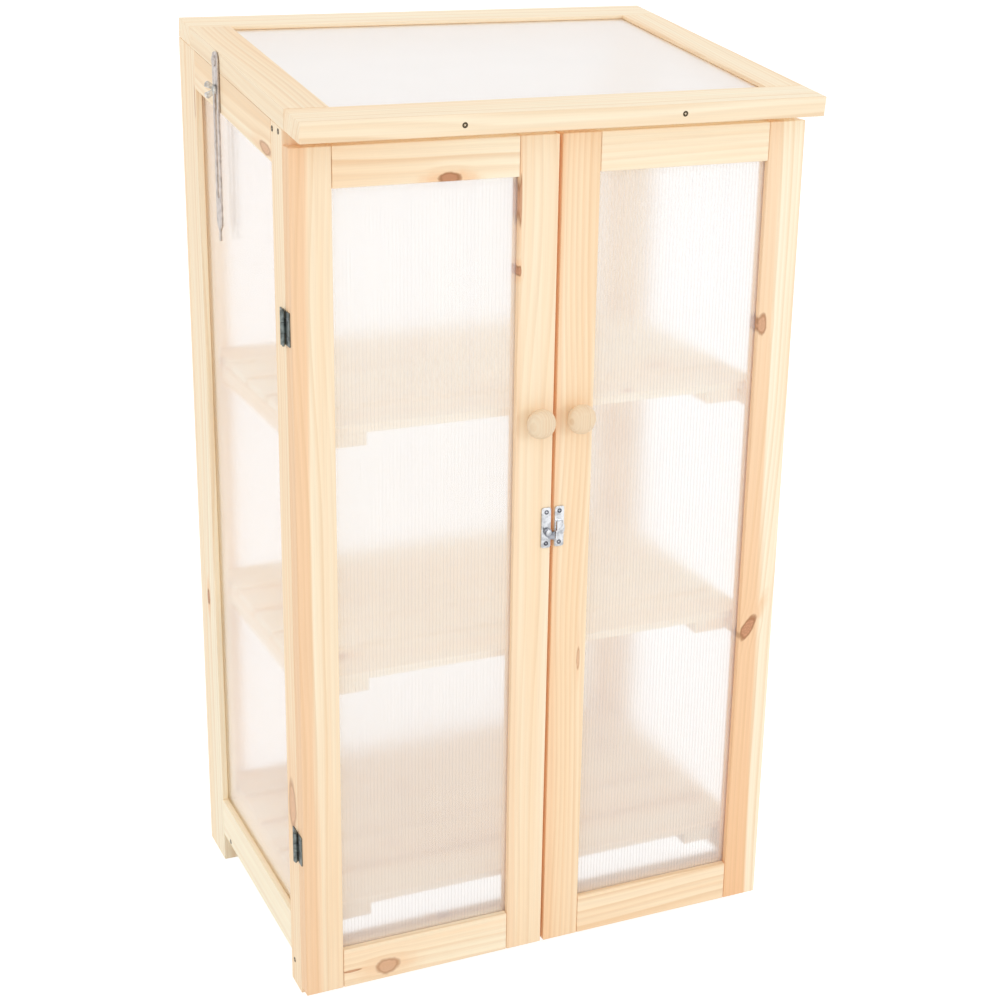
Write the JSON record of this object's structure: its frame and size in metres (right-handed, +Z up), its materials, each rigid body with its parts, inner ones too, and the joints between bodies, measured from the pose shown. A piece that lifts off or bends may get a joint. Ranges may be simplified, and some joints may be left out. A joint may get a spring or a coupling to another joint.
{
  "type": "mini greenhouse",
  "caption": "Tall pine cabinet greenhouse with clear panelled sides, double doors, slatted shelves and a sloping hinged lid on a slotted stay.",
  "frame": {"origin": "on the floor, in the middle of the whole object's box", "axes": "+Z up, +X to the right seen from the front, the doors face -Y"},
  "size_m": [0.6214, 0.4562, 1.0791],
  "materials": {
    "pine": "planed softwood, lightly oiled",
    "pale_pine": "planed softwood, lightly oiled",
    "clear_sheet": "clear twin-wall sheet with fine upright ribs",
    "zinc": "bright zinc plate",
    "black_steel": "dark lacquered steel, on the frames' wood screws"
  },
  "bodies": {
    "cabinet": {"left_side_front_post": "pine", "left_side_back_post": "pine", "left_side_top_rail": "pine", "left_side_bottom_rail": "pine", "left_side_panel": "clear_sheet", "right_side_front_post": "pine", "right_side_back_post": "pine", "right_side_top_rail": "pine", "right_side_bottom_rail": "pine", "right_side_panel": "clear_sheet", "back_left_stile": "pine", "back_right_stile": "pine", "back_top_rail": "pine", "back_bottom_rail": "pine", "back_panel": "clear_sheet", "front_header": "pine", "front_sill": "pine", "left_bottom_cleat": "pine", "right_bottom_cleat": "pine", "left_middle_cleat": "pine", "right_middle_cleat": "pine", "left_top_cleat": "pine", "right_top_cleat": "pine", "left_lower_hinge_frame_leaf": "zinc", "left_upper_hinge_frame_leaf": "zinc", "right_lower_hinge_frame_leaf": "zinc", "right_upper_hinge_frame_leaf": "zinc", "left_lid_hinge_frame_leaf": "zinc", "right_lid_hinge_frame_leaf": "zinc"},
    "left_door": {"left_door_hinge_stile": "pale_pine", "left_door_meeting_stile": "pale_pine", "left_door_top_rail": "pale_pine", "left_door_bottom_rail": "pale_pine", "left_door_panel": "clear_sheet", "left_door_knob": "pale_pine", "left_lower_hinge_door_leaf": "zinc", "left_upper_hinge_door_leaf": "zinc", "latch_plate": "zinc"},
    "right_door": {"right_door_hinge_stile": "pale_pine", "right_door_meeting_stile": "pale_pine", "right_door_top_rail": "pale_pine", "right_door_bottom_rail": "pale_pine", "right_door_panel": "clear_sheet", "right_door_knob": "pale_pine", "right_lower_hinge_door_leaf": "zinc", "right_upper_hinge_door_leaf": "zinc", "latch_catch": "zinc"},
    "latch_lever": {"latch_lever": "zinc"},
    "lid": {"lid_front_rail": "pine", "lid_back_rail": "pine", "lid_left_rail": "pine", "lid_right_rail": "pine", "lid_panel": "clear_sheet", "left_lid_hinge_lid_leaf": "zinc", "right_lid_hinge_lid_leaf": "zinc"},
    "lid_stay": {"lid_stay": "zinc"},
    "stay_wing_screw": {"stay_wing_screw": "zinc"},
    "bottom_shelf": {"bottom_shelf": "pale_pine"},
    "middle_shelf": {"middle_shelf": "pale_pine"},
    "top_shelf": {"top_shelf": "pale_pine"}
  },
  "joints": [
    {"name": "left_door_hinge", "type": "hinge", "parent": "cabinet", "child": "left_door", "pos_m": [-0.2987, -0.16885, 0.5], "axis": [0, 0, -1], "range_deg": [0, 170]},
    {"name": "right_door_hinge", "type": "hinge", "parent": "cabinet", "child": "right_door", "pos_m": [0.3077, -0.16885, 0.5], "axis": [0, 0, 1], "range_deg": [0, 170]},
    {"name": "latch_lever_turn", "type": "hinge", "parent": "left_door", "child": "latch_lever", "pos_m": [-0.0023, -0.19345, 0.5455], "axis": [0, 1, 0], "range_deg": [0, 95]},
    {"name": "lid_hinge", "type": "hinge", "parent": "cabinet", "child": "lid", "pos_m": [0, 0.22515, 1.0575], "axis": [-1, 0, 0], "range_deg": [0, 42]},
    {"name": "lid_stay_pivot", "type": "hinge", "parent": "lid", "child": "lid_stay", "pos_m": [-0.2975, 0.06065, 1.04773], "axis": [-1, 0, 0], "range_deg": [-28, 0]},
    {"name": "stay_wing_screw_turn", "type": "hinge", "parent": "cabinet", "child": "stay_wing_screw", "pos_m": [-0.3, 0.05965, 1.01701], "axis": [1, 0, 0], "range_deg": [0, 360]},
    {"name": "bottom_shelf_lift", "type": "slide", "parent": "cabinet", "child": "bottom_shelf", "axis": [0, 0, 1], "range_m": [0, 0.25]},
    {"name": "middle_shelf_lift", "type": "slide", "parent": "cabinet", "child": "middle_shelf", "axis": [0, 0, 1], "range_m": [0, 0.25]},
    {"name": "top_shelf_lift", "type": "slide", "parent": "cabinet", "child": "top_shelf", "axis": [0, 0, 1], "range_m": [0, 0.25]}
  ],
  "couplings": [
    {"joint": "lid_stay_pivot", "follows": "lid_hinge", "ratio": -0.66}
  ]
}
